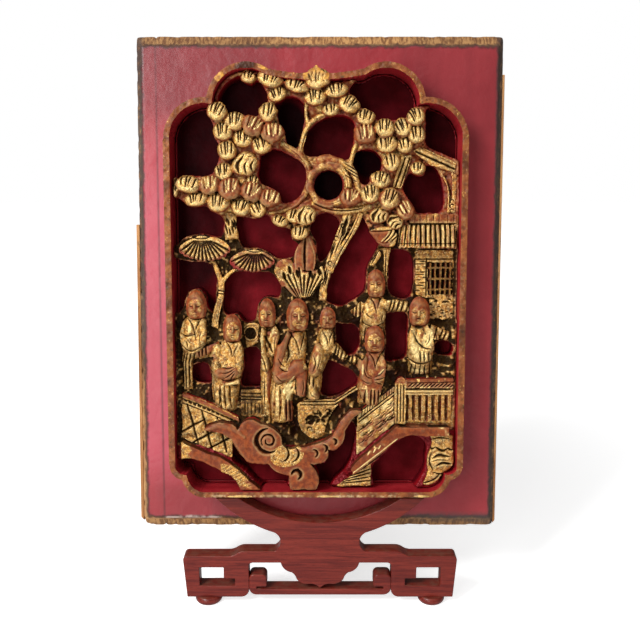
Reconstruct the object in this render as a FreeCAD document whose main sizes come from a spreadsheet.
import FreeCAD, Part
import math
import os

Vector = FreeCAD.Vector
Rotation = FreeCAD.Rotation
Placement = FreeCAD.Placement

# A carved and lacquered picture panel that leans in a rosewood table stand.
# Lengths are millimetres and angles are degrees. +Z is up and the carved face looks towards -Y.
# The origin is on the floor, under the middle of the whole object.

SIZES = {
    # The panel's board
    "board_width": 238.0,
    "board_height": 327.0,
    "board_thickness": 14.0,
    "side_plank_width": 12.8,
    "margin_side": 4.0,
    "margin_end": 7.0,
    "bevel_drop": 4.5,
    "left_flare": 2.2,
    "left_lath_thickness": 2.2,
    "right_lath_thickness": 1.5,
    "left_lath_length": 206.0,
    "right_lath_length": 303.0,
    "plank_peg_diameter": 5.0,
    "plank_peg_length": 18.0,
    "plank_peg_spacing": 113.0,
    "peg_clearance": 0.1,
    "panel_lean": 7.0,
    # The lobed rim round the carving
    "relief_depth": 24.0,
    "rim_axis": -2.5,
    "rim_bottom": 28.3,
    "rim_width": 4.2,
    "rim_side_margin": 23.4,
    "rim_top_margin": 21.0,
    "plate_depth": 8.0,
    "plate_border": 1.2,
    "border_height": 2.5,
    "corner_radius": 15.7,
    "corner_step": 10.0,
    "shoulder_radius": 25.9,
    "lobe_radius": 25.0,
    "lobe_inset": 52.1,
    "saddle_drop": 7.3,
    "finial_height": 5.5,
    "finial_width": 14.0,
    "rim_peg_diameter": 2.6,
    "rim_peg_depth": 10.0,
    # Heights of the carved pieces above the board's face
    "leaf_radius": 6.0,
    "leaf_height": 23.0,
    "leaf_step": 1.6,
    "leaf_dome": 3.0,
    "branch_height": 16.0,
    "ring_height": 17.0,
    "ring_hole_radius": 10.0,
    "ring_band": 4.4,
    "trunk_height": 14.0,
    "palm_height": 18.0,
    "plantain_height": 16.5,
    "figure_depth": 20.0,
    "head_front": 22.5,
    "roof_height": 20.0,
    "roof_ridge_height": 15.0,
    "ridge_beam_height": 17.0,
    "tile_rib_rise": 1.2,
    "wall_height": 10.0,
    "lattice_height": 12.0,
    "gable_height": 15.0,
    "rail_height": 18.0,
    "picket_height": 15.0,
    "terrace_height": 23.0,
    "stair_height": 16.0,
    "rock_height": 18.0,
    "fence_height": 16.0,
    "cloud_height": 23.0,
    "low_wall_height": 11.0,
    # The stand
    "ledge_height": 51.5,
    "plank_thickness": 11.0,
    "plank_clearance": 0.5,
    "stand_width": 185.6,
    "foot_taper": 2.0,
    "foot_width": 44.4,
    "waist_width": 53.2,
    "bun_height": 5.2,
    "bun_diameter": 18.3,
    "bun_inset": 16.2,
    "bar_top": 39.4,
    "bar_end_top": 35.8,
    "bar_bottom": 30.9,
    "bar_end_radius": 3.0,
    "fret_top": 27.3,
    "fret_floor": 13.6,
    "fret_slot": 5.4,
    "fret_post": 10.8,
    "foot_corner": 3.0,
    "foot_round": 5.5,
    "waist_fillet": 4.0,
    "throat_drop": 7.3,
    "crescent_low": 60.4,
    "crescent_radius": 90.0,
    "arm_top": 78.2,
    "arm_width": 15.6,
    "rail_bottom": 6.7,
    "rail_top": 11.2,
    "rail_corner": 5.0,
    "hook_top": 22.0,
    "hook_width": 12.0,
    "hook_round": 3.5,
    "hook_slot": 1.6,
    # The folding back leg
    "ledge_depth": 12.0,
    "ledge_width": 46.0,
    "ledge_bottom": 30.0,
    "hinge_back": 21.0,
    "hinge_height": 37.0,
    "knuckle_radius": 8.0,
    "lug_radius": 7.5,
    "lug_thickness": 6.0,
    "hinge_clearance": 0.3,
    "pin_diameter": 5.0,
    "pin_clearance": 0.1,
    "leg_thickness": 14.0,
    "leg_width": 14.0,
    "leg_reach": 100.0,
    "leg_heel": 1.5,
    "leg_crook": 20.0,
    "arch_out": 5.0,
    "arch_up": 7.0,
    "belly_out": 4.0,
    "belly_up": 5.5,
    "foot_bar_height": 9.0,
    "foot_bar_depth": 15.0,
    "foot_bar_width": 50.0,
    "spur_start": 14.0,
    "spur_length": 84.0,
    "spur_width": 10.0,
    "rest_depth": 6.0,
    "rest_height": 13.0,
    "rest_width": 96.0,
    "rest_clearance": 0.3,
    "rest_inset": 2.0,
    "dowel_diameter": 6.0,
    "dowel_length": 14.0,
    "dowel_spacing": 30.0,
}

doc = FreeCAD.newDocument("TableScreen")
sheet = doc.addObject("Spreadsheet::Sheet", "Sizes")
for row, (name, value) in enumerate(SIZES.items(), start=1):
    sheet.set(f"A{row}", name)
    sheet.set(f"B{row}", str(value))
    sheet.setAlias(f"B{row}", name)
doc.recompute()


def size(name):
    return float(sheet.get(name))


LEAN = math.radians(size("panel_lean"))
RELIEF_FRONT = size("rim_bottom") * math.sin(LEAN) - size("relief_depth") * math.cos(LEAN)
FACE_Y = -(RELIEF_FRONT + size("leg_reach")) / 2
LEFT_REACH = size("left_flare") + size("left_lath_thickness")
MIDDLE_X = (LEFT_REACH - size("right_lath_thickness")) / 2
LEANED = Placement(Vector(MIDDLE_X, FACE_Y, size("ledge_height")), Rotation(Vector(1, 0, 0), -size("panel_lean")))
OUTWARD = Rotation(Vector(1, 0, 0), 90)

subparts = {}
carved = []


def keep(label, thing):
    """Name a finished sub-part."""
    thing.Label = label
    subparts[label] = thing
    return thing


# Helpers for bodies, sketches and features


def new_body(name, placement=None):
    body = doc.addObject("PartDesign::Body", name)
    body.Placement = placement or Placement()
    return body


def plane(body, role):
    return next(f for f in body.Origin.OriginFeatures if f.Role == role)


def outline(points):
    """Closed edges through corners (x, y); a corner given as (x, y, "via") is the middle of an arc."""
    start = next(k for k, p in enumerate(points) if len(p) == 2)
    loop = points[start:] + points[:start] + [points[start]]
    edges = []
    last = Vector(*loop[0], 0)
    middle = None
    for point in loop[1:]:
        here = Vector(point[0], point[1], 0)
        if len(point) == 3:
            middle = here
            continue
        if middle is None:
            edges.append(Part.LineSegment(last, here))
        else:
            edges.append(Part.ArcOfCircle(last, middle, here))
        last = here
        middle = None
    return edges


def mirrored(half):
    """A whole outline from its right half, which runs up from the axis to the axis."""
    left = [(-p[0],) + tuple(p[1:]) for p in reversed(half) if p[0] != 0]
    return half + left


def circle(x, y, radius):
    return [Part.Circle(Vector(x, y, 0), Vector(0, 0, 1), radius)]


def box_outline(x0, y0, x1, y1):
    return outline([(x0, y0), (x1, y0), (x1, y1), (x0, y1)])


def sketch_on(body, role, edges, offset=0.0):
    sketch = body.newObject("Sketcher::SketchObject", "Sketch")
    sketch.AttachmentSupport = [(plane(body, role), "")]
    sketch.MapMode = "FlatFace"
    sketch.AttachmentOffset = Placement(Vector(0, 0, offset), Rotation())
    sketch.addGeometry(edges, False)
    return sketch


def pad(body, role, edges, length, offset=0.0, back=False, middle=False):
    """Raise edges by an expression over the sheet's sizes, or by a worked-out length."""
    feature = body.newObject("PartDesign::Pad", "Pad")
    feature.Profile = sketch_on(body, role, edges, offset)
    if isinstance(length, str):
        feature.setExpression("Length", length)
    else:
        feature.Length = length
    feature.Reversed = back
    feature.Midplane = middle
    return feature


def pocket(body, role, edges, length=None, offset=0.0, back=False):
    """Cut edges by an expression, or right through where none is given."""
    doc.recompute()
    before = body.Shape.Volume
    feature = body.newObject("PartDesign::Pocket", "Pocket")
    feature.Profile = sketch_on(body, role, edges, offset)
    feature.Reversed = back
    if length is None:
        feature.Type = "ThroughAll"
        feature.Midplane = True
    else:
        feature.setExpression("Length", length)
    doc.recompute()
    if not body.Shape.Volume < before:
        raise RuntimeError(f"{body.Name}: a pocket cut nothing")
    return feature


def boxes_meet(one, other):
    a = one.Shape.BoundBox
    b = other.Shape.BoundBox
    return a.intersect(b)


def carve(label, blank):
    """Keep a carved piece, cut back to where the pieces in front of it already stand."""
    doc.recompute()
    neighbours = [piece for piece in carved if boxes_meet(piece, blank)]
    neighbours = [piece for piece in neighbours if piece.Shape.common(blank.Shape).Volume > 1e-6]
    piece = blank
    if neighbours:
        blank.Label = label + "_blank"
        piece = doc.addObject("Part::Cut", label)
        piece.Base = blank
        piece.Tool = neighbours[0]
        if len(neighbours) > 1:
            tool = doc.addObject("Part::Compound", label + "_neighbours")
            tool.Links = neighbours
            piece.Tool = tool
        doc.recompute()
    carved.append(piece)
    return keep(label, piece)


# The carving is drawn inside a box, from its lower left to its upper right corner, and follows the rim's real size

DRAWN = ((-98.1, 28.3), (93.1, 306.0))
RIM_SPAN = size("board_width") - 2 * size("rim_side_margin")
RIM_RISE = size("board_height") - size("rim_bottom") - size("rim_top_margin")
SPREAD_X = RIM_SPAN / (DRAWN[1][0] - DRAWN[0][0])
SPREAD_Z = RIM_RISE / (DRAWN[1][1] - DRAWN[0][1])


def place_x(u):
    return size("rim_axis") - RIM_SPAN / 2 + (u - DRAWN[0][0]) * SPREAD_X


def place_z(v):
    return size("rim_bottom") + (v - DRAWN[0][1]) * SPREAD_Z


def laid(points):
    """Nominal points of the carving, moved to the real opening."""
    return [(place_x(p[0]), place_z(p[1])) + tuple(p[2:]) for p in points]


def slab(label, height, *outlines):
    """A carved piece of flat relief: outlines raised from the board to a named height."""
    body = new_body(label, LEANED)
    for points in outlines:
        pad(body, "XZ_Plane", outline(laid(points)), "Sizes." + height)
    return body


def ribbon(path, width_start, width_end):
    """The outline of a branch that tapers along a few points, with its sides as smooth curves."""
    nodes = [Vector(place_x(u), place_z(v), 0) for u, v in path]
    left = []
    right = []
    last = len(nodes) - 1
    for k, node in enumerate(nodes):
        ahead = nodes[min(k + 1, last)] - nodes[max(k - 1, 0)]
        side = Vector(-ahead.y, ahead.x, 0).normalize()
        half = (width_start + (width_end - width_start) * k / last) / 2
        left.append(node + side * half)
        right.append(node - side * half)
    sides = []
    for points in (left, right[::-1]):
        curve = Part.BSplineCurve()
        curve.interpolate(points)
        sides.append(curve)
    return [sides[0], Part.LineSegment(left[-1], right[-1]), sides[1], Part.LineSegment(right[0], left[0])]


# The board: two planks joined edge to edge, with bevelled bare margins, and laths along its edges

BOARD_HALF = size("board_width") / 2
JOINT_X = size("side_plank_width") - BOARD_HALF
BOARD_TOP = size("board_height")
TONGUE_Y = size("bevel_drop")
PEG_Y = (size("bevel_drop") + size("board_thickness")) / 2
PEG_ROWS = [BOARD_TOP / 2 + k * size("plank_peg_spacing") for k in (-1, 0, 1)]
PEG_BORE = size("plank_peg_diameter") / 2 + size("peg_clearance")
RIM_HALF = RIM_SPAN / 2
RIM_TOP = size("rim_bottom") + RIM_RISE
SHOULDER_X = RIM_HALF - size("shoulder_radius")
LOBE_X = RIM_HALF - size("lobe_inset")
LOBE_Z = RIM_TOP - size("lobe_radius")


def left_edge(z):
    """The board's left edge, which flares out towards the foot."""
    return -BOARD_HALF - size("left_flare") * (1 - z / BOARD_TOP)


def plank(label, edge, face, bore_back):
    """A plank of the board: a tongue as deep as the bevels leave, and a face that slopes up from it."""
    body = new_body(label, LEANED)
    pad(body, "XZ_Plane", outline(edge), "Sizes.board_thickness - Sizes.bevel_drop", offset=-TONGUE_Y, back=True)
    loft = body.newObject("PartDesign::AdditiveLoft", "Face")
    loft.Profile = sketch_on(body, "XZ_Plane", outline(edge), -TONGUE_Y)
    loft.Sections = [sketch_on(body, "XZ_Plane", outline(face))]
    loft.Ruled = True
    bores = [edge for row in PEG_ROWS for edge in circle(PEG_Y, row, PEG_BORE)]
    pocket(body, "YZ_Plane", bores, "Sizes.plank_peg_length / 2", offset=JOINT_X, back=bore_back)
    return keep(label, body)


def rim_pegs():
    """Places of the pegs that hold the rim, as (x, z), in the middle of its band."""
    inset = size("rim_width") / 2
    side = RIM_HALF - inset
    rows = [place_z(v) for v in (90.0, 170.0, 245.0)]
    places = [(size("rim_axis") + s * side, row) for s in (-1, 1) for row in rows]
    low = size("rim_bottom") + inset
    return places + [(size("rim_axis") + s * RIM_HALF / 2, low) for s in (-1, 1)]


def rod(label, x, y, z, axis, radius, length, placement):
    """A plain round rod along an axis of the given placement, with its sizes bound to the sheet."""
    stick = doc.addObject("Part::Cylinder", label)
    stick.setExpression("Radius", radius)
    stick.setExpression("Height", length)
    stick.Placement = placement.multiply(Placement(Vector(x, y, z), Rotation(Vector(0, 0, 1), axis)))
    return stick


def group(label, pieces):
    bundle = doc.addObject("Part::Compound", label)
    bundle.Links = pieces
    return keep(label, bundle)


FACE_LOW = size("margin_end")
FACE_HIGH = BOARD_TOP - size("margin_end")
FACE_HALF = BOARD_HALF - size("margin_side")
main_plank = plank(
    "main_plank", edge=[(JOINT_X, 0), (BOARD_HALF, 0), (BOARD_HALF, BOARD_TOP), (JOINT_X, BOARD_TOP)],
    face=[(JOINT_X, FACE_LOW), (FACE_HALF, FACE_LOW), (FACE_HALF, FACE_HIGH), (JOINT_X, FACE_HIGH)], bore_back=True)
RIM_BORE = size("rim_peg_diameter") / 2 + size("peg_clearance")
rim_bores = [edge for x, z in rim_pegs() for edge in circle(x, z, RIM_BORE)]
pocket(main_plank, "XZ_Plane", rim_bores, "Sizes.board_thickness")
side_plank = plank(
    "side_plank", edge=[(left_edge(0), 0), (JOINT_X, 0), (JOINT_X, BOARD_TOP), (left_edge(BOARD_TOP), BOARD_TOP)],
    face=[(-FACE_HALF, FACE_LOW), (JOINT_X, FACE_LOW), (JOINT_X, FACE_HIGH), (-FACE_HALF, FACE_HIGH)], bore_back=False)

LEFT_LATH = size("left_lath_thickness")
RIGHT_LATH = size("right_lath_thickness")
LEFT_TOP = size("left_lath_length")
RIGHT_TOP = size("right_lath_length")
left_strip = [(left_edge(0), 0), (left_edge(LEFT_TOP), LEFT_TOP), (left_edge(LEFT_TOP) - LEFT_LATH, LEFT_TOP),
              (left_edge(0) - LEFT_LATH, 0)]
right_strip = [(BOARD_HALF, 0), (BOARD_HALF + RIGHT_LATH, 0), (BOARD_HALF + RIGHT_LATH, RIGHT_TOP),
               (BOARD_HALF, RIGHT_TOP)]
for label, strip in (("left_lath", left_strip), ("right_lath", right_strip)):
    lath = new_body(label, LEANED)
    pad(lath, "XZ_Plane", outline(strip), "Sizes.board_thickness - Sizes.bevel_drop", offset=-TONGUE_Y, back=True)
    keep(label, lath)

peg_start = JOINT_X - size("plank_peg_length") / 2
group("plank_pegs", [
    rod("PlankPeg", peg_start, PEG_Y, row, Vector(1, 0, 0),
        "Sizes.plank_peg_diameter / 2", "Sizes.plank_peg_length", LEANED)
    for row in PEG_ROWS])
group("rim_pegs", [
    rod("RimPeg", x, size("board_thickness"), z, Vector(0, -1, 0),
        "Sizes.rim_peg_diameter / 2", "Sizes.board_thickness + Sizes.rim_peg_depth", LEANED)
    for x, z in rim_pegs()])


# The lobed rim: straight sides and foot, stepped lower corners, round shoulders, two lobes and a saddle


def meet(one, other, pick):
    """Where two circles (x, z, radius) cross; of the two points, the one that is largest by pick."""
    x0, z0, r0 = one
    x1, z1, r1 = other
    gap = math.hypot(x1 - x0, z1 - z0)
    along = (gap * gap + r0 * r0 - r1 * r1) / (2 * gap)
    across = math.sqrt(r0 * r0 - along * along)
    ex, ez = (x1 - x0) / gap, (z1 - z0) / gap
    points = [(x0 + along * ex - s * across * ez, z0 + along * ez + s * across * ex) for s in (-1, 1)]
    return max(points, key=pick)


def on_circle(ring, point, other):
    """The middle of the short arc of a circle between two of its points."""
    x, z, radius = ring
    mx, mz = (point[0] + other[0]) / 2 - x, (point[1] + other[1]) / 2 - z
    reach = radius / math.hypot(mx, mz)
    return (x + mx * reach, z + mz * reach, "via")


def rim_outline(inset):
    """The rim's outline, drawn in by an inset, as a mirrored list of corners and arcs."""
    half = RIM_HALF - inset
    foot = size("rim_bottom") + inset
    step_x = RIM_HALF - size("corner_step")
    step_z = size("rim_bottom") + size("corner_radius") + size("corner_step") * 0.6
    corner = (step_x - size("corner_radius") * 0.85, size("rim_bottom") + size("corner_radius"),
              size("corner_radius") - inset)
    step = (step_x, step_z, size("corner_step") - inset)
    shoulder = (SHOULDER_X, RIM_TOP - size("lobe_radius") - size("shoulder_radius") * 0.86,
                size("shoulder_radius") - inset)
    lobe = (LOBE_X, LOBE_Z, size("lobe_radius") - inset)
    saddle_chord = LOBE_X * 0.62
    saddle_sink = 2.5
    saddle_radius = (saddle_chord ** 2 + saddle_sink ** 2) / (2 * saddle_sink)
    saddle = (0.0, RIM_TOP - size("saddle_drop") + saddle_radius, saddle_radius + inset)
    cusp = meet(corner, step, lambda p: p[0] - p[1])
    notch = meet(shoulder, lobe, lambda p: p[0] + p[1])
    dip = meet(lobe, saddle, lambda p: -p[0])
    half_points = [(0, foot), (corner[0], foot), on_circle(corner, (corner[0], foot), cusp), cusp,
                   on_circle(step, cusp, (half, step[1])), (half, step[1]), (half, shoulder[1]),
                   on_circle(shoulder, (half, shoulder[1]), notch), notch]
    crest = (LOBE_X, LOBE_Z + lobe[2])
    half_points += [on_circle(lobe, notch, crest), crest, on_circle(lobe, crest, dip), dip]
    if inset:
        half_points += [(0, saddle[1] - saddle[2], "via")]
    else:
        leaf = size("finial_width") / 2
        leaf_z = saddle[1] - math.sqrt(saddle[2] ** 2 - leaf ** 2)
        half_points += [on_circle(saddle, dip, (leaf, leaf_z)), (leaf, leaf_z),
                        (leaf * 0.55, leaf_z + size("finial_height") * 0.35, "via"),
                        (0, leaf_z + size("finial_height"))]
    points = mirrored(half_points)
    return outline([(size("rim_axis") + p[0],) + tuple(p[1:]) for p in points])


rim = new_body("relief_rim", LEANED)
pad(rim, "XZ_Plane", rim_outline(0.0) + rim_outline(size("rim_width")), "Sizes.relief_depth")
pocket(rim, "XZ_Plane", rim_bores, "Sizes.rim_peg_depth", back=True)
carve("relief_rim", rim)


# The openwork plate inside the rim: a board cut through with rounded openings, on which the carving stands.
# Along the rim a low border holds it together.

OPENINGS = [
    [(-64.5, 282.5), (-62, 290), (-56, 296), (-49.5, 298), (-45, 295), (-39, 295.5), (-35, 290.5), (-32.8, 285),
     (-34.5, 281), (-37.5, 277), (-40, 274), (-47, 274.5), (-53, 276.5), (-58, 276), (-61, 280)],
    [(-71, 282), (-79, 281), (-88, 275), (-95, 266), (-97, 254), (-97, 240), (-92.5, 235.5), (-84, 237), (-76, 236.5),
     (-68.5, 238.5), (-66, 243), (-64, 249), (-64.5, 256), (-67.5, 262), (-68, 269), (-70.5, 275)],
    [(-27, 283.5), (-21, 285.8), (-15, 285), (-10.2, 280.5), (-9.8, 273), (-11.5, 264), (-13.5, 256), (-17, 254.5),
     (-21, 258), (-22.5, 264), (-25.5, 269), (-27, 276)],
    [(-10.5, 258), (-7.5, 264.5), (-2.5, 269.5), (4, 273), (11, 274.3), (18, 273), (21.8, 268.5), (21.3, 261),
     (20.5, 254), (17.5, 247.5), (11, 249), (4, 250.8), (-4, 249), (-9.5, 251)],
    [(-36.5, 251), (-31, 253.3), (-25, 252.3), (-18, 248.8), (-11.5, 244.5), (-9, 238), (-9.8, 231), (-13, 224.5),
     (-18, 220.8), (-24, 220.3), (-26, 224.5), (-31, 229.5), (-37, 232), (-39, 237), (-38, 245)],
    [(-3.5, 231), (-1, 224.5), (5.5, 221.8), (12, 224.5), (14.6, 231), (12, 237.5), (5.5, 240.2), (-1, 237.5)],
    [(21, 246), (22.5, 251), (27, 252.8), (33, 252.5), (37.5, 249.5), (39.3, 244), (37, 239), (32.5, 235), (29, 231),
     (25.5, 233.5), (22.5, 239)],
    [(19, 290.5), (22.5, 295.5), (30, 300.5), (40, 303), (50, 301), (58, 295), (63, 287), (63, 281.5), (58.5, 279),
     (54.5, 273.5), (48, 271.5), (41, 272), (36, 272), (32.5, 276.5), (27, 278.3), (23.8, 283)],
    [(68, 278.5), (75, 280.5), (83, 277.5), (89.5, 269), (91, 258), (89.5, 247), (82, 249.7), (74, 253), (67.3, 257.5),
     (66.8, 265), (67, 272)],
    [(68, 243), (74, 241.5), (77, 236.5), (79, 228), (79.3, 219), (77, 214), (70, 213.6), (62, 214), (59.5, 218.5),
     (56, 223), (53.5, 228), (55.5, 235), (57.5, 238), (62, 236.3), (67, 238)],
    [(-97, 222), (-91, 222.5), (-86, 219), (-80, 216.8), (-73, 217), (-68, 213.5), (-63.5, 211), (-62.5, 204),
     (-64, 198.5), (-71, 199.6), (-80, 199.8), (-88, 197), (-93, 193), (-97, 194), (-98, 208)],
    [(-53, 210.5), (-47, 210.3), (-40, 209.5), (-34, 211.5), (-31, 208), (-26, 204.3), (-19, 202), (-18, 196.5),
     (-14.5, 193.5), (-16.5, 186.5), (-20, 184.6), (-27, 184.5), (-33, 188.3), (-41, 191.2), (-49, 191.5), (-52.3, 197)],
    [(-6, 204), (-3, 210), (1.5, 212.8), (8, 212), (12, 208), (11, 200), (8, 193), (4.5, 186), (0.5, 182.5), (-1.5, 187),
     (-2, 194), (-4.5, 199)],
    [(26.5, 211.5), (29.5, 206.5), (32.5, 200.5), (37, 195), (36.5, 190), (33.5, 184.5), (30.5, 179), (29.5, 171),
     (27.5, 162), (21, 157.5), (14, 153.8), (8, 155), (4.3, 157), (5, 165), (8.3, 176), (13, 185.5), (18.5, 194),
     (22, 203)],
    [(46, 189), (54, 189.3), (59, 186.5), (60.8, 180), (61, 172), (60, 164), (56.5, 159), (50, 159), (45.5, 162),
     (44.5, 170), (44.8, 180)],
    [(43, 148.5), (49, 149), (55.5, 148.5), (57, 143), (56.3, 134), (56.5, 125), (55, 119.5), (48, 117.5), (43.5, 118),
     (42.8, 126), (43, 138)],
    [(11.5, 142.5), (17, 141.5), (23, 140), (25.7, 135), (25, 127), (20, 121.5), (15, 122), (11, 126), (10.7, 134)],
    [(-1.5, 107), (1, 113.5), (4, 117.5), (10, 116), (16.5, 112.5), (22.5, 109), (24.3, 103.5), (20.5, 98.8), (13, 94.5),
     (5, 93), (1, 95.5), (-0.5, 101)],
    [(-98, 185), (-90, 183.3), (-82, 181.8), (-74, 181.5), (-69, 178.5), (-67.3, 170), (-68, 160), (-70, 150), (-72, 152),
     (-73.5, 160), (-79, 164.8), (-85, 162.5), (-88, 155), (-92, 149), (-98, 150)],
    [(-61.5, 170.5), (-56, 174.5), (-48, 176), (-40, 175), (-32, 174.8), (-28, 170.5), (-25.5, 163.5), (-27.5, 159.3),
     (-33, 160), (-38.5, 157.5), (-41, 150), (-43.5, 143.5), (-49, 143.5), (-54, 148.8), (-60, 147.8), (-63, 152),
     (-62.3, 162)],
    [(-49, 124.5), (-44, 126), (-40, 124.5), (-37.8, 118), (-38, 109), (-39, 100.5), (-45, 99.5), (-51, 100.5),
     (-51, 108), (-49, 116)],
    [(-83.5, 113.5), (-78, 115.5), (-72.8, 114.5), (-72, 108.5), (-72.5, 102.5), (-78, 102.5), (-83.5, 104.5)],
    [(-94, 50.5), (-86, 53.3), (-78, 51.5), (-71, 47.8), (-65, 43.5), (-58.5, 40), (-55, 34.5), (-62, 30), (-76, 30),
     (-84, 34), (-90, 42)],
    [(-57, 65), (-53, 57.5), (-48, 52.5), (-40, 50), (-34, 49.5), (-29, 44.8), (-22, 43), (-21, 37), (-25, 31),
     (-35, 31.5), (-43, 37.5), (-50, 45), (-56.5, 50), (-59, 57)],
    [(-1.5, 49.5), (4.5, 51.5), (6, 58.5), (11.5, 59), (15, 64.5), (16.5, 71.5), (20, 77.5), (22.3, 75), (22.3, 62),
     (20, 52), (15, 43), (9, 37), (3, 31.5), (-1.3, 35), (-0.8, 42)],
    [(55, 66.5), (60, 67.8), (65, 66.8), (69.5, 62), (70, 53), (69, 44), (65, 37), (60, 31), (48, 30), (37, 31.5),
     (35, 39), (35.5, 48), (41, 54), (48, 61)],
    [(76, 129.5), (81, 130.5), (85.5, 128.5), (85.8, 122.5), (80.5, 121), (76, 122.5)]]


def rounded(points):
    """A closed smooth curve through nominal points of the carving."""
    loop = Part.BSplineCurve()
    loop.interpolate(Points=[Vector(place_x(u), place_z(v), 0) for u, v in points], PeriodicFlag=True)
    return loop


ground = new_body("ground_slab", LEANED)
pad(ground, "XZ_Plane", rim_outline(size("rim_width")), "Sizes.plate_depth")
doc.recompute()
plate = new_body("openwork_plate", LEANED)
pad(plate, "XZ_Plane", rim_outline(size("rim_width")), "Sizes.plate_depth")
for opening in OPENINGS:
    pocket(plate, "XZ_Plane", [rounded(opening)])
BORDER_INSET = size("rim_width") + size("plate_border")
pad(plate, "XZ_Plane", rim_outline(size("rim_width")) + rim_outline(BORDER_INSET), "Sizes.border_height")
keep("openwork_plate", plate)
carved.append(ground)


# Flat front pieces: cloud scroll, terrace and sloping beam, worn smooth in the rim's own front plane

cloud = slab(
    "cloud_scroll", "cloud_height",
    [(-76, 73), (-70, 77.2, "via"), (-62, 78), (-57, 77, "via"), (-53.5, 73.5), (-46, 80.2, "via"), (-38, 77),
     (-32.5, 75.8, "via"), (-24.5, 66.5), (-22, 61.5, "via"), (-15, 62.5), (-3, 64, "via"), (8, 69.5),
     (12, 78, "via"), (18, 84.5), (23, 86.8, "via"), (28, 85.5), (21.5, 80.5, "via"), (16, 73),
     (14.8, 65.5, "via"), (11, 60), (7.8, 59.7, "via"), (5, 60.5), (4.2, 54, "via"), (-1.5, 51), (-3.8, 50.4, "via"),
     (-6, 51), (-1.2, 43, "via"), (-2.2, 33.5), (-20, 33.5), (-20.3, 43.5), (-27.5, 45, "via"), (-33.5, 50.5),
     (-40, 50.5, "via"), (-48, 52.5), (-54.5, 60, "via"), (-58, 67), (-65, 71.5, "via"), (-71, 72)])
VOLUTE = (place_x(-33.0), place_z(66.5))
pocket(cloud, "XZ_Plane", circle(*VOLUTE, 2.2), "Sizes.cloud_height / 2",
       offset=size("cloud_height"))
carve("cloud_scroll", cloud)

carve("terrace_beam", slab(
    "terrace_beam", "terrace_height",
    [(49.5, 76), (84, 76), (84, 69.2), (62, 69.2), (54, 68.6, "via"), (49.5, 66.2), (33, 50), (22.5, 43.5),
     (20, 47.5), (23.5, 52.5)]))

carve("fence_beam", slab(
    "fence_beam", "terrace_height",
    [(-90.5, 66), (-82, 62, "via"), (-74, 58), (-62, 53.5, "via"), (-52, 45.5), (-45, 39, "via"), (-38, 33.5),
     (-52, 33.5), (-56, 40.5, "via"), (-64, 45), (-73, 50.5, "via"), (-81, 53.5), (-86, 54.8, "via"), (-90.5, 53.5)]))


# Leaf pads: round domed pads on their own stems, in overlapping clusters


def leaf(u, v, share, below):
    """One pad: a stem from the board and a dome whose top is some steps below the front."""
    spot = LEANED.multiply(Placement(Vector(place_x(u), 0, place_z(v)), OUTWARD))
    stem = doc.addObject("Part::Cylinder", "LeafStem")
    stem.setExpression("Radius", f"Sizes.leaf_radius * {share * 0.9}")
    stem.setExpression("Height", f"Sizes.leaf_height - Sizes.leaf_step * {below} - Sizes.leaf_dome")
    stem.Placement = spot
    dome = doc.addObject("Part::Cone", "LeafDome")
    dome.setExpression("Radius1", f"Sizes.leaf_radius * {share}")
    dome.setExpression("Radius2", f"Sizes.leaf_radius * {share * 0.66}")
    dome.setExpression("Height", "Sizes.leaf_dome")
    doc.recompute()
    dome.Placement = spot.multiply(Placement(Vector(0, 0, stem.Height.Value), Rotation()))
    return [stem, dome]


def leaf_cluster(label, leaves):
    cluster = doc.addObject("Part::MultiFuse", label)
    cluster.Shapes = [solid for place in leaves for solid in leaf(*place)]
    return carve(label, cluster)


leaf_cluster("leaves_top", [
    (-44.5, 297.0, 0.75, 2), (-31, 295.5, 1.08, 0), (-26.5, 286.5, 0.9, 1), (-14.5, 291, 1.0, 0),
    (-2, 293.5, 1.1, 0), (-3, 284.5, 1.0, 1), (10.5, 288.5, 1.0, 1), (18.5, 280.5, 1.04, 1), (7, 277.5, 0.82, 2)])
leaf_cluster("leaves_upper_left", [
    (-64.5, 276, 1.0, 0), (-53.5, 270.5, 1.02, 1), (-42, 267.5, 1.06, 0), (-32.5, 275.8, 0.98, 1),
    (-29.5, 263, 1.1, 0), (-61, 264, 1.0, 2), (-48.5, 259.5, 1.0, 2), (-36.5, 255.5, 0.98, 2),
    (-58.5, 252, 1.0, 1), (-47, 244, 1.3, 2), (-42.5, 234.5, 0.66, 2), (-60.5, 240, 0.96, 2)])
leaf_cluster("leaves_left_row", [
    (-83, 231, 1.08, 1), (-70, 231, 1.02, 0), (-57, 228.5, 1.12, 0), (-43, 226.5, 1.1, 0), (-31.5, 222.5, 1.02, 0),
    (-78.5, 221, 0.95, 2), (-64.5, 219.5, 1.06, 1), (-50, 216.5, 1.0, 2), (-39.5, 215.5, 0.9, 2)])
leaf_cluster("leaves_right", [
    (28.5, 272.5, 0.95, 1), (28, 262, 1.12, 0), (40.5, 266, 1.0, 0), (42, 256, 1.02, 1), (52, 266.5, 0.96, 1),
    (60, 273, 0.96, 0), (60.5, 262, 0.96, 1), (53.5, 255.5, 0.88, 2), (45, 245, 0.94, 0), (62, 241, 0.74, 2)])
leaf_cluster("leaves_centre", [
    (38.5, 234, 0.98, 1), (31.5, 225, 1.0, 0), (44, 222, 1.04, 0), (19.5, 223, 1.02, 1), (54, 214.5, 0.92, 1),
    (39, 210.5, 0.85, 2), (48, 207.5, 0.8, 2)])
leaf_cluster("leaves_small", [
    (-25.5, 208, 0.72, 2), (-16, 211, 0.75, 1), (-8.5, 210.5, 0.95, 0), (-13, 200.5, 0.85, 1)])


# Robed figures: a lofted robe with a flat back, a domed head and tapering sleeves


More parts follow.
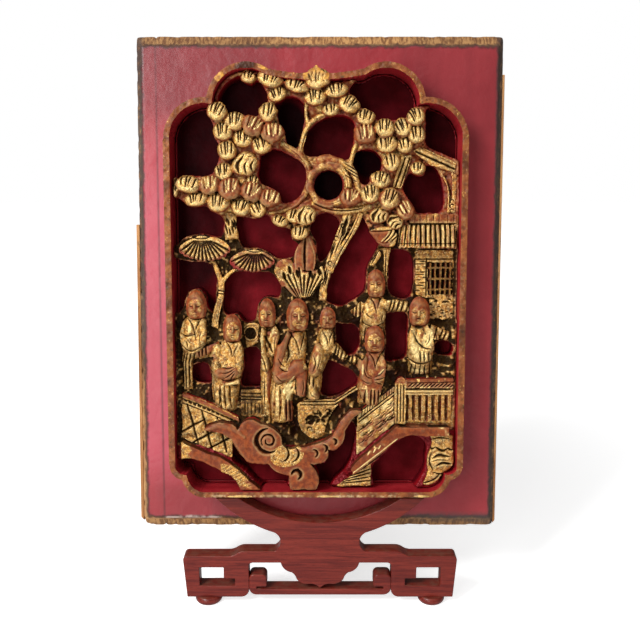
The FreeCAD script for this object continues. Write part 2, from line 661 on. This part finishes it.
def robe_section(body, u, v, half, depth):
    """A tombstone section across the robe at one height: flat on the board, round in front."""
    x = place_x(u)
    crown = min(0.55 * depth, 0.9 * half)
    side = depth - crown
    edges = outline([(x - half, 0), (x - half, -side), (x, -depth, "via"), (x + half, -side), (x + half, 0)])
    return sketch_on(body, "XY_Plane", edges, place_z(v))


def sleeve(body, start, end, r_start, r_end):
    """A tapering limb between two places (u, v, height above the board)."""
    a, b = [Vector(place_x(u), -w, place_z(v)) for u, v, w in (start, end)]
    limb = body.newObject("PartDesign::AdditiveCone", "Sleeve")
    limb.Radius1 = r_start
    limb.Radius2 = r_end
    limb.Height = (b - a).Length
    limb.Placement = Placement(a, Rotation(Vector(0, 0, 1), b - a))


def figure(label, robe, head, sleeves):
    """Robe sections run from hem to shoulder as (u, v, half width, share of the figures' depth)."""
    body = new_body(label, LEANED)
    depth = size("figure_depth")
    sections = [robe_section(body, u, v, half, depth * share) for u, v, half, share in robe]
    loft = body.newObject("PartDesign::AdditiveLoft", "Robe")
    loft.Profile = sections[0]
    loft.Sections = sections[1:]
    loft.Ruled = True
    u, v, across, tall = head
    deep = across * 0.95
    skull = body.newObject("PartDesign::AdditiveEllipsoid", "Head")
    skull.Radius1 = tall
    skull.Radius2 = across
    skull.Radius3 = deep
    skull.Placement = Placement(Vector(place_x(u), deep - size("head_front"), place_z(v)), Rotation())
    for start, end, r_start, r_end in sleeves:
        sleeve(body, start, end, r_start, r_end)
    return carve(label, body)


figure("figure_main",
       robe=[(-25, 76.5, 7.0, 0.8), (-25.5, 95, 7.8, 0.9), (-21, 112, 10.5, 1.0), (-17.5, 128, 9.5, 0.95),
             (-15.5, 137, 6.0, 0.82), (-14.8, 140, 4.0, 0.8)],
       head=(-14.5, 148, 7.2, 10.8),
       sleeves=[((-24, 128, 15), (-25, 112, 17), 4.6, 5.6), ((-22, 110, 17), (-9, 116, 17), 5.6, 4.6),
                ((-12, 114, 16), (-14.5, 96, 15), 4.4, 5.0)])
figure("figure_parent",
       robe=[(-62.5, 84, 8.0, 0.75), (-62, 100, 9.3, 0.9), (-60, 115, 10.3, 1.0), (-58, 126, 9.0, 0.92),
             (-57, 132, 5.0, 0.8)],
       head=(-56.5, 139.5, 6.2, 9.2),
       sleeves=[((-64, 127, 13), (-80, 121, 13), 4.4, 3.0), ((-53, 124, 13), (-57, 112, 17), 4.2, 4.8)])
figure("figure_front_right",
       robe=[(31, 88, 6.5, 0.7), (33, 104, 8.4, 0.85), (34.5, 117, 8.4, 0.95), (35, 124.5, 4.5, 0.8)],
       head=(35.2, 132.3, 6.6, 9.0),
       sleeves=[((29.5, 114, 13), (30, 98, 15), 4.2, 5.0), ((27, 115, 12), (19.5, 119, 10), 3.4, 2.6)])
figure("figure_pavilion",
       robe=[(66, 108.5, 8.0, 0.7), (65.5, 120, 8.8, 0.9), (64.5, 132, 8.6, 1.0), (64, 139, 6.5, 0.9), (64, 144, 4, 0.8)],
       head=(64, 150.3, 6.8, 9.6),
       sleeves=[((70, 138, 12), (83.5, 134, 12), 4.4, 3.2), ((60, 133, 13), (63, 121, 17), 4.2, 4.8)])
figure("figure_raised_arms",
       robe=[(34.5, 128, 7.8, 0.65), (34.5, 142, 8.4, 0.85), (35, 154, 8.2, 0.92), (36, 160, 4.4, 0.8)],
       head=(36, 168.4, 6.0, 9.2),
       sleeves=[((41, 154, 12), (57, 153.5, 12), 4.4, 3.4), ((29, 154, 12), (21.5, 148, 11), 4.2, 3.2)])
figure("figure_left",
       robe=[(-87, 97.5, 3.2, 0.65), (-87, 117, 3.6, 0.75), (-82, 124, 8.0, 0.88), (-81.5, 138, 8.6, 0.95),
             (-80.5, 145, 7.0, 0.85), (-80, 148, 4.0, 0.8)],
       head=(-79.5, 154.5, 6.8, 9.4),
       sleeves=[((-77, 140, 12), (-79, 128, 15), 4.0, 4.6)])
figure("figure_attendant",
       robe=[(-35, 79, 3.6, 0.6), (-35, 104, 4.0, 0.75), (-33.5, 124, 4.8, 0.85), (-32, 136, 6.3, 0.85),
             (-33, 142, 4.0, 0.75)],
       head=(-34, 149.3, 5.7, 9.6),
       sleeves=[((-36, 134, 12), (-33, 122, 14), 3.2, 3.9)])
figure("figure_child",
       robe=[(-4.5, 92.5, 4.6, 0.7), (-3.5, 108, 5.0, 0.85), (1.5, 124, 7.0, 0.95), (4, 136, 5.0, 0.85),
             (4.5, 140, 3.4, 0.8)],
       head=(5.0, 146.3, 5.2, 7.3),
       sleeves=[((0, 126, 14), (-3, 112, 16), 4.2, 5.2), ((8, 128, 12), (16.5, 119.5, 11), 3.2, 2.5)])


# Two fan palms with scalloped fringes on one forked stem


def palm(label, hub, spread, reach, drop, lobes):
    """A fan leaf: a low crown over a hub, with a scalloped fringe hanging from its ribs."""
    u, v = hub
    crown = [(u + spread, v - drop), (u + spread * 0.55, v + 1.0, "via"), (u + spread * 0.12, v + 2.2),
             (u - spread * 0.5, v + 1.4, "via"), (u - spread, v - drop)]
    fringe = []
    for k in range(lobes):
        sweep = math.pi * (1.06 + 0.88 * (k + 1) / lobes)
        middle = math.pi * (1.06 + 0.88 * (k + 0.5) / lobes)
        tip = (u + spread * 1.02 * math.cos(middle), v - drop + reach * 1.12 * math.sin(middle))
        fringe.append(tip + ("via",))
        if k < lobes - 1:
            fringe.append((u + spread * 0.96 * math.cos(sweep), v - drop + reach * math.sin(sweep)))
    return carve(label, slab(label, "palm_height", crown + fringe))


palm("palm_leaf_left", hub=(-73.5, 196), spread=16.5, reach=8.0, drop=5.0, lobes=9)
palm("palm_leaf_right", hub=(-43.5, 187.5), spread=14.5, reach=7.0, drop=4.5, lobes=9)


# The pavilion: tiled roof with a swept-up corner, wall, lattice window, post and gable beams

ROOF_LEFT = place_x(50.0)
ROOF_RIGHT = place_x(87.0)
ROOF_RIDGE = place_z(206.0)
EAVE = place_z(190.5)
TILE_RIBS = 12


def roof_profile(rise):
    """The roof's slope from ridge to eave, as (y, z), with the tiles' thickness added to it."""
    low = size("roof_height") + rise
    high = size("roof_ridge_height") + rise
    return outline([(0, EAVE), (-low, EAVE), (-low, EAVE + 2.5), (-high, ROOF_RIDGE), (0, ROOF_RIDGE)])


roof = new_body("pavilion_roof", LEANED)
rib_pitch = (ROOF_RIGHT - ROOF_LEFT) / TILE_RIBS
pad(roof, "YZ_Plane", roof_profile(0.0), ROOF_RIGHT - ROOF_LEFT, offset=ROOF_LEFT)
rib = pad(roof, "YZ_Plane", roof_profile(size("tile_rib_rise")), rib_pitch / 2, offset=ROOF_LEFT)
ribs = roof.newObject("PartDesign::LinearPattern", "TileRibs")
ribs.Originals = [rib]
ribs.Direction = (plane(roof, "X_Axis"), [""])
ribs.Length = rib_pitch * (TILE_RIBS - 1)
ribs.Occurrences = TILE_RIBS
roof.Tip = ribs
pad(roof, "XZ_Plane", outline(laid([(57, 206), (87, 206), (87, 212.5), (57, 212.5)])), "Sizes.ridge_beam_height")
carve("pavilion_roof", roof)

carve("roof_corner", slab(
    "roof_corner", "roof_height",
    [(31, 201.5), (38, 204.2, "via"), (46, 204), (49.5, 199), (48.5, 193), (42, 191.5, "via"), (35.5, 195)]))
carve("gable_beams", slab(
    "gable_beams", "gable_height",
    [(58.5, 252), (63, 255), (86.5, 245), (86.5, 238), (70, 243.5)],
    [(51.5, 249.5), (59, 250), (52, 228), (46.2, 229.5)]))
carve("gable_loop", slab(
    "gable_loop", "gable_height",
    [(77.5, 237), (81.5, 225, "via"), (80.8, 213.5), (87, 213.5), (87, 238.5), (83.5, 238.5), (84, 231, "via"),
     (84.3, 222.5), (82.5, 229, "via"), (80.5, 235.5)]))

wall = slab("pavilion_wall", "wall_height",
            [(61, 189.5), (87, 189.5), (87, 144), (71, 144), (71, 158), (62, 160), (62, 184)])
WINDOW = [(70, 160.5), (86, 160.5), (86, 181.5), (70, 181.5)]
pocket(wall, "XZ_Plane", outline(laid(WINDOW)))
carve("pavilion_wall", wall)


def bars(body, corner, opposite, across, upright, width, height):
    """Evenly spaced crossing bars inside a nominal rectangle, raised to a named height."""
    (u0, v0), (u1, v1) = corner, opposite
    for k in range(upright):
        u = u0 + (u1 - u0) * (k + 0.5) / upright
        strip = [(u - width / 2, v0), (u + width / 2, v0), (u + width / 2, v1), (u - width / 2, v1)]
        pad(body, "XZ_Plane", outline(laid(strip)), "Sizes." + height)
    for k in range(across):
        v = v0 + (v1 - v0) * (k + 0.5) / across
        strip = [(u0, v - width / 2), (u1, v - width / 2), (u1, v + width / 2), (u0, v + width / 2)]
        pad(body, "XZ_Plane", outline(laid(strip)), "Sizes." + height)


lattice = new_body("window_lattice", LEANED)
bars(lattice, WINDOW[0], WINDOW[2], across=3, upright=5, width=1.3, height="lattice_height")
carve("window_lattice", lattice)
carve("pavilion_post", slab(
    "pavilion_post", "wall_height",
    [(40.5, 192), (46, 192), (44, 178, "via"), (43.5, 160), (41.8, 160), (41.5, 176, "via")],
    [(38, 190.5), (40, 187), (35, 178.5), (31.5, 180)]))


# Terrace: balustrade with pickets, stair, rock column and stair foot

PICKETS = 7
balustrade = slab(
    "balustrade", "rail_height",
    [(48.5, 76.3), (56, 76.3), (56, 103.5), (54.8, 106.8, "via"), (50, 106), (48.5, 103)],
    [(56, 100), (87, 100), (87, 107), (56, 106)],
    [(56, 95.5), (87, 95.5), (87, 98.5), (56, 98.5)])
bars(balustrade, (57, 76.3), (87, 95.5), across=0, upright=PICKETS, width=2.6, height="picket_height")
pad(balustrade, "XZ_Plane", outline(laid([(56, 98.5), (87, 98.5), (87, 100), (56, 100)])), "Sizes.picket_height")
pad(balustrade, "XZ_Plane", outline(laid([(56, 76.3), (87, 76.3), (87, 78), (56, 78)])), "Sizes.picket_height")
carve("balustrade", balustrade)
carve("stair_panel", slab(
    "stair_panel", "stair_height",
    [(24, 55), (49, 76.3), (48.5, 102), (26.5, 85), (24, 80)]))
carve("stair_foot", slab("stair_foot", "stair_height", [(10, 34), (34, 34), (33.5, 49), (22.5, 43)]))
carve("rock_column", slab(
    "rock_column", "rock_height",
    [(72, 68.8), (73, 63, "via"), (71.5, 58), (70.3, 52, "via"), (71, 45), (67.5, 35.5), (72, 35, "via"), (79, 42),
     (86.5, 48.5, "via"), (87, 60), (87, 68.8)]))


# Lower left: fence with its rail and panel, low table and flowered terrace wall

FENCE_PANES = [
    [(-87, 85), (-79, 81.5), (-82, 72), (-87.5, 74)], [(-76, 79.5), (-66, 76), (-71, 66), (-79, 70)],
    [(-87.5, 70), (-82, 68), (-79, 62.5), (-87.5, 66.8)], [(-66, 71), (-60.5, 72.5), (-60.5, 58), (-67, 60)]]
fence = slab(
    "left_fence", "fence_height",
    [(-90.5, 97), (-72, 90, "via"), (-53, 80.5), (-53, 76), (-58, 77.5), (-58, 53), (-90.5, 66.5)])
for pane in FENCE_PANES:
    pocket(fence, "XZ_Plane", outline(laid(pane)), "Sizes.fence_height / 4", offset=size("fence_height"))
carve("left_fence", fence)
carve("low_table", slab("low_table", "low_wall_height", [(-52, 80), (-38.5, 78), (-38.5, 98), (-52, 98)]))
flower_wall = slab(
    "flower_wall", "low_wall_height",
    [(-15, 88), (-10, 91.2), (9.5, 91.2), (24, 100.5), (25.5, 97), (11, 86.5, "via"), (3, 64),
     (-8, 66.5, "via"), (-15, 78)])
pocket(flower_wall, "XZ_Plane", circle(place_x(-6.5), place_z(77.5), 3.0), "Sizes.low_wall_height / 2",
       offset=size("low_wall_height"))
carve("flower_wall", flower_wall)


# Trees: plantain, double trunk, ring of branches, small trunk and the palms' stem

plantain = slab(
    "plantain", "plantain_height",
    [(-16, 177), (-16.5, 187, "via"), (-6.5, 199), (-2.5, 189, "via"), (-4.5, 176)],
    [(-27.5, 172), (-26, 183, "via"), (-18, 183), (-10, 176, "via"), (1, 180), (2.5, 171, "via"), (-1.5, 165),
     (-6, 159.5), (-15, 159), (-24, 166, "via")])
carve("plantain", plantain)


def branches(label, height, *paths):
    body = new_body(label, LEANED)
    for path, width_start, width_end in paths:
        pad(body, "XZ_Plane", ribbon(path, width_start, width_end), "Sizes." + height)
    return body


carve("tree_trunk", branches(
    "tree_trunk", "trunk_height",
    ([(17.5, 214), (13.5, 200), (8.5, 187), (4, 172), (1.5, 157)], 6.0, 4.5),
    ([(26, 214), (20, 200), (13.5, 189), (7, 175)], 4.0, 3.0)))

tree = branches(
    "tree_branches", "branch_height",
    ([(-25, 257), (-14.5, 250.5), (-8, 243), (-7.5, 232), (-12, 221.5), (-21, 215.5), (-33, 213)], 4.2, 2.6),
    ([(-13, 250), (-11, 259), (-7.5, 267.5), (-1, 273), (6, 276)], 4.0, 3.0),
    ([(-7.5, 266), (-8.5, 276), (-8, 284)], 2.8, 2.2),
    ([(-2, 244.5), (5, 248), (13, 245), (19, 241.5), (23, 234), (26, 226)], 5.0, 4.2),
    ([(18.5, 243), (20.5, 250), (24, 258)], 3.4, 2.6),
    ([(-5, 220), (4, 215.5), (14, 214.2), (26.5, 216), (34, 217)], 4.5, 4.0))
RING = (place_x(5.5), place_z(231.0))
RING_HOLE = size("ring_hole_radius")
pad(tree, "XZ_Plane", circle(*RING, RING_HOLE + size("ring_band")), "Sizes.ring_height")
pocket(tree, "XZ_Plane", circle(*RING, RING_HOLE))
carve("tree_branches", tree)

carve("small_trunk", branches(
    "small_trunk", "trunk_height", ([(-57.5, 214), (-57.2, 205), (-56.8, 196)], 6.5, 9.0)))
carve("palm_stem", branches(
    "palm_stem", "trunk_height",
    ([(-69.5, 184.5), (-66.2, 176), (-64, 168), (-65.2, 156), (-68.5, 139)], 2.6, 5.0),
    ([(-52, 178.5), (-58.5, 174.5), (-63.5, 167)], 2.6, 3.0)))
ornament = slab("ring_ornament", "low_wall_height",
                [(-50.5, 139.5), (-45, 142, "via"), (-39.5, 140.5), (-40.5, 128.5), (-48.5, 125.5)])
pocket(ornament, "XZ_Plane", circle(place_x(-45.4), place_z(135), 3.6))
carve("ring_ornament", ornament)


# The stand's front: one fretted plank with a crescent that holds the panel, foot bars and key-fret feet

STAND_HALF = size("stand_width") / 2
FOOT_INNER = STAND_HALF - size("foot_width")
WAIST = size("waist_width") / 2
PLANK_BACK = FACE_Y - size("plank_clearance")
PLANK_FRONT = PLANK_BACK - size("plank_thickness")
FRONT_PLACE = Placement(Vector(MIDDLE_X, PLANK_BACK, 0), Rotation())
KERF = 0.4


def bend(radius):
    """How far a quarter round's middle lies from each of the two lines that it joins."""
    return radius * (1 - math.sqrt(0.5))


def crescent(x):
    """Height of the crescent's inner curve at a distance from the axis."""
    return size("crescent_low") + size("crescent_radius") - math.sqrt(size("crescent_radius") ** 2 - x * x)


def crescent_reach(z):
    """Distance from the axis at which the crescent's inner curve has a height."""
    return math.sqrt(size("crescent_radius") ** 2 - (size("crescent_low") + size("crescent_radius") - z) ** 2)


def plank_half():
    """The right half of the plank's outline, from the pendant's tip round to the crescent's middle."""
    bar = size("bar_bottom")
    hang = bar - size("rail_top") - KERF
    pendant = [(0, bar - hang), (WAIST * 0.12, bar - hang * 0.86, "via"), (WAIST * 0.26, bar - hang * 0.82),
               (WAIST * 0.48, bar - hang * 0.78, "via"), (WAIST * 0.6, bar - hang * 0.64),
               (WAIST * 0.64, bar - hang * 0.5, "via"), (WAIST * 0.72, bar - hang * 0.38),
               (WAIST * 0.9, bar - hang * 0.26, "via"), (WAIST, bar)]
    bottom = size("bun_height")
    inner = size("foot_corner")
    outer = size("foot_round")
    foot = [(FOOT_INNER - inner, bar), (FOOT_INNER - bend(inner), bar - bend(inner), "via"), (FOOT_INNER, bar - inner),
            (FOOT_INNER, bottom + outer), (FOOT_INNER + bend(outer), bottom + bend(outer), "via"),
            (FOOT_INNER + outer, bottom), (STAND_HALF - size("foot_taper"), bottom)]
    low = size("bar_end_top")
    high = size("bar_top")
    middle = STAND_HALF * 0.61
    run = size("foot_width") / 8
    sweep = (run ** 2 + ((high - low) / 2) ** 2) / (high - low)
    turn = math.asin(run / sweep) / 2
    across, fall = sweep * math.sin(turn), sweep * (1 - math.cos(turn))
    end = size("bar_end_radius")
    bar_outline = [(STAND_HALF, low - end), (STAND_HALF - bend(end), low - bend(end), "via"), (STAND_HALF - end, low),
                   (middle + run, low), (middle + run - across, low + fall, "via"), (middle, (low + high) / 2),
                   (middle - run + across, high - fall, "via"), (middle - run, high), (WAIST + size("waist_fillet"), high)]
    throat = size("crescent_low") - size("throat_drop")
    neck = WAIST + size("waist_fillet")
    tip = crescent_reach(size("arm_top"))
    outer = tip + size("arm_width")
    arm = [(WAIST, (high + throat) / 2, "via"), (neck, throat),
           ((neck + outer) / 2, throat + (size("arm_top") - throat) * 0.36, "via"),
           (outer, size("arm_top")), (tip, size("arm_top")), (tip / 2, crescent(tip / 2), "via"),
           (0, size("crescent_low"))]
    return pendant + foot + bar_outline + arm


def fret_window(side):
    """The key-shaped opening in a foot: a window with a slot that runs on under a hanging tab."""
    outer = STAND_HALF - size("fret_post")
    slot_end = FOOT_INNER + size("foot_width") * 0.215
    tab = FOOT_INNER + size("foot_width") * 0.385
    floor = size("fret_floor")
    slot = floor + size("fret_slot")
    points = [(outer, floor), (outer, size("fret_top")), (tab, size("fret_top")), (tab, slot), (slot_end, slot),
              (slot_end, floor)]
    return outline([(side * x, z) for x, z in points])


def dowel_rows():
    return [side * size("dowel_spacing") / 2 for side in (-1, 1)]


DOWEL_Z = (size("ledge_bottom") + size("ledge_height")) / 2
DOWEL_BORE = size("dowel_diameter") / 2 + size("peg_clearance")


stand_front = new_body("stand_front", FRONT_PLACE)
pad(stand_front, "XZ_Plane", outline(mirrored(plank_half())), "Sizes.plank_thickness")
pocket(stand_front, "XZ_Plane", fret_window(-1) + fret_window(1))
dowel_bores = [edge for x in dowel_rows() for edge in circle(x, DOWEL_Z, DOWEL_BORE)]
pocket(stand_front, "XZ_Plane", dowel_bores, "Sizes.dowel_length / 2", back=True)
keep("stand_front", stand_front)


def rail_half():
    """The right half of the lower rail, with an upturned hook at its end."""
    end = FOOT_INNER
    low = size("rail_bottom")
    top = size("rail_top")
    hook = size("hook_top")
    inner = end - size("hook_width")
    slot = size("hook_slot")
    corner = size("rail_corner")
    turn = size("hook_round")
    slot_end = end - corner
    return [(0, low), (end - corner, low), (end - bend(corner), low + bend(corner), "via"), (end, low + corner),
            (end, hook - turn), (end - bend(turn), hook - bend(turn), "via"), (end - turn, hook), (inner + turn, hook),
            (inner + bend(turn), hook - bend(turn), "via"), (inner, hook - turn), (inner, top + slot),
            (slot_end - slot / 2, top + slot), (slot_end, top + slot / 2, "via"), (slot_end - slot / 2, top), (0, top)]


lower_rail = new_body("lower_rail", FRONT_PLACE)
pad(lower_rail, "XZ_Plane", outline(mirrored(rail_half())), "Sizes.plank_thickness")
keep("lower_rail", lower_rail)

PLANK_MIDDLE = PLANK_BACK - size("plank_thickness") / 2
for side, label in ((-1, "left_bun_foot"), (1, "right_bun_foot")):
    foot_x = side * (STAND_HALF - size("bun_inset"))
    bun = new_body(label, Placement(Vector(MIDDLE_X + foot_x, PLANK_MIDDLE, 0), Rotation()))
    radius = size("bun_diameter") / 2
    rise = size("bun_height")
    profile = outline([(0, 0), (radius * 0.78, 0), (radius, rise * 0.55, "via"), (radius * 0.86, rise), (0, rise)])
    turned = bun.newObject("PartDesign::Revolution", "Turned")
    turned.Profile = sketch_on(bun, "XZ_Plane", profile)
    turned.ReferenceAxis = (plane(bun, "Z_Axis"), [""])
    turned.Angle = 360.0
    keep(label, bun)


# Behind the waist: a ledge block with hinge lugs, its pin, and a folding leg with foot and back rest

SEAT = Placement(Vector(MIDDLE_X, FACE_Y, 0), Rotation())
HINGE = (size("hinge_back"), size("hinge_height"))
PIN_BORE = size("pin_diameter") / 2 + size("pin_clearance")
LUG_INNER = size("leg_thickness") / 2 + size("hinge_clearance")


def ledge_z(y):
    """Height of the board's bottom at a distance behind its face."""
    return size("ledge_height") - y * math.tan(LEAN)


def behind(v, off):
    """A point off the board's back, v up along it, as (y, z) from the face's foot."""
    away = size("board_thickness") + off
    y = v * math.sin(LEAN) + away * math.cos(LEAN)
    z = size("ledge_height") + v * math.cos(LEAN) - away * math.sin(LEAN)
    return (y, z)


block = new_body("ledge_block", SEAT)
front = -size("plank_clearance")
back = size("ledge_depth")
low = size("ledge_bottom")
block_profile = outline([(front, low), (back, low), (back, ledge_z(back)), (front, ledge_z(front))])
pad(block, "YZ_Plane", block_profile, "Sizes.ledge_width", middle=True)
hinge_y, hinge_z = HINGE
lug = size("lug_radius")
lug_profile = [(back - 1, hinge_z - lug), (hinge_y, hinge_z - lug), (hinge_y + lug, hinge_z, "via"),
               (hinge_y, hinge_z + lug), (back - 1, hinge_z + lug)]
pad(block, "YZ_Plane", outline(lug_profile), "Sizes.lug_thickness", offset=LUG_INNER)
pad(block, "YZ_Plane", outline(lug_profile), "Sizes.lug_thickness", offset=-LUG_INNER, back=True)
pocket(block, "YZ_Plane", circle(hinge_y, hinge_z, PIN_BORE))
pocket(block, "XZ_Plane", dowel_bores, "Sizes.dowel_length / 2", offset=size("plank_clearance"))
keep("ledge_block", block)

group("ledge_dowels", [
    rod("Dowel", x, -size("plank_clearance") - size("dowel_length") / 2, DOWEL_Z, Vector(0, 1, 0),
        "Sizes.dowel_diameter / 2", "Sizes.dowel_length", SEAT)
    for x in dowel_rows()])

pin_half = LUG_INNER + size("lug_thickness")
keep("hinge_pin", rod("HingePin", -pin_half, hinge_y, hinge_z, Vector(1, 0, 0), "Sizes.pin_diameter / 2",
                      "2 * (Sizes.leg_thickness / 2 + Sizes.hinge_clearance + Sizes.lug_thickness)", SEAT))


def leg_outline():
    """The leg's side: a foot end, a round knuckle at the hinge and a spur that follows the board's back."""
    top = size("foot_bar_height")
    reach = size("leg_reach")
    knuckle = size("knuckle_radius")
    foot_back = reach - size("leg_heel")
    foot_front = foot_back - size("leg_width") * 0.9
    setback = size("rest_depth") + size("rest_clearance")
    spur = size("spur_length")
    front_low = behind(size("spur_start"), setback)
    front_top = behind(spur, setback)
    back_top = behind(spur, setback + size("spur_width"))
    crown = behind(spur + size("spur_width") * 0.45, setback + size("spur_width") / 2)
    crook = behind(size("leg_crook"), setback + size("spur_width") * 1.5)
    arch = ((crook[0] + foot_back) / 2 + size("arch_out"), (crook[1] + top) / 2 + size("arch_up"))
    under_z = (hinge_z - knuckle + top) / 2 + size("belly_up")
    under = ((hinge_y + foot_front) / 2 + size("belly_out"), under_z)
    return outline([(foot_front, top), (foot_back, top), arch + ("via",), crook, back_top, crown + ("via",), front_top,
                    front_low, (hinge_y - knuckle * 0.5, hinge_z + knuckle * 0.866),
                    (hinge_y - knuckle, hinge_z, "via"), (hinge_y, hinge_z - knuckle), under + ("via",)])


leg = new_body("back_leg", SEAT)
pad(leg, "YZ_Plane", leg_outline(), "Sizes.leg_thickness", middle=True)
pocket(leg, "YZ_Plane", circle(hinge_y, hinge_z, PIN_BORE))
keep("back_leg", leg)

foot = new_body("back_foot", SEAT)
foot_end = size("leg_reach")
foot_start = foot_end - size("foot_bar_depth")
foot_top = size("foot_bar_height")
foot_round = foot_top * 0.4
foot_bend = foot_round * (1 - math.sqrt(0.5))
foot_profile = outline([(foot_start, 0), (foot_end, 0), (foot_end, foot_top - foot_round),
                        (foot_end - foot_bend, foot_top - foot_bend, "via"), (foot_end - foot_round, foot_top),
                        (foot_start + foot_round, foot_top), (foot_start + foot_bend, foot_top - foot_bend, "via"),
                        (foot_start, foot_top - foot_round)])
pad(foot, "YZ_Plane", foot_profile, "Sizes.foot_bar_width", middle=True)
keep("back_foot", foot)

rest = new_body("back_rest", SEAT)
rest_top = size("spur_length") - size("rest_inset")
rest_low = rest_top - size("rest_height")
near = size("rest_clearance")
far = near + size("rest_depth")
rest_profile = outline([behind(rest_low, near), behind(rest_low, far), behind(rest_top, far), behind(rest_top, near)])
pad(rest, "YZ_Plane", rest_profile, "Sizes.rest_width", middle=True)
keep("back_rest", rest)


# Every piece is checked before it is written

doc.recompute()
for thing in doc.Objects:
    if "Invalid" in thing.State or "Error" in thing.State:
        raise RuntimeError(f"{thing.Label} did not build: {thing.State}")
for label, thing in subparts.items():
    if thing.Shape.isNull() or not thing.Shape.isValid() or not thing.Shape.Solids:
        raise RuntimeError(f"{label} is not a valid solid")

os.makedirs("parts", exist_ok=True)
for label, thing in subparts.items():
    thing.Shape.exportStep(os.path.join("parts", label + ".step"))
    print(f"{label}: {len(thing.Shape.Solids)} solid(s), {thing.Shape.Volume:.1f} mm3")
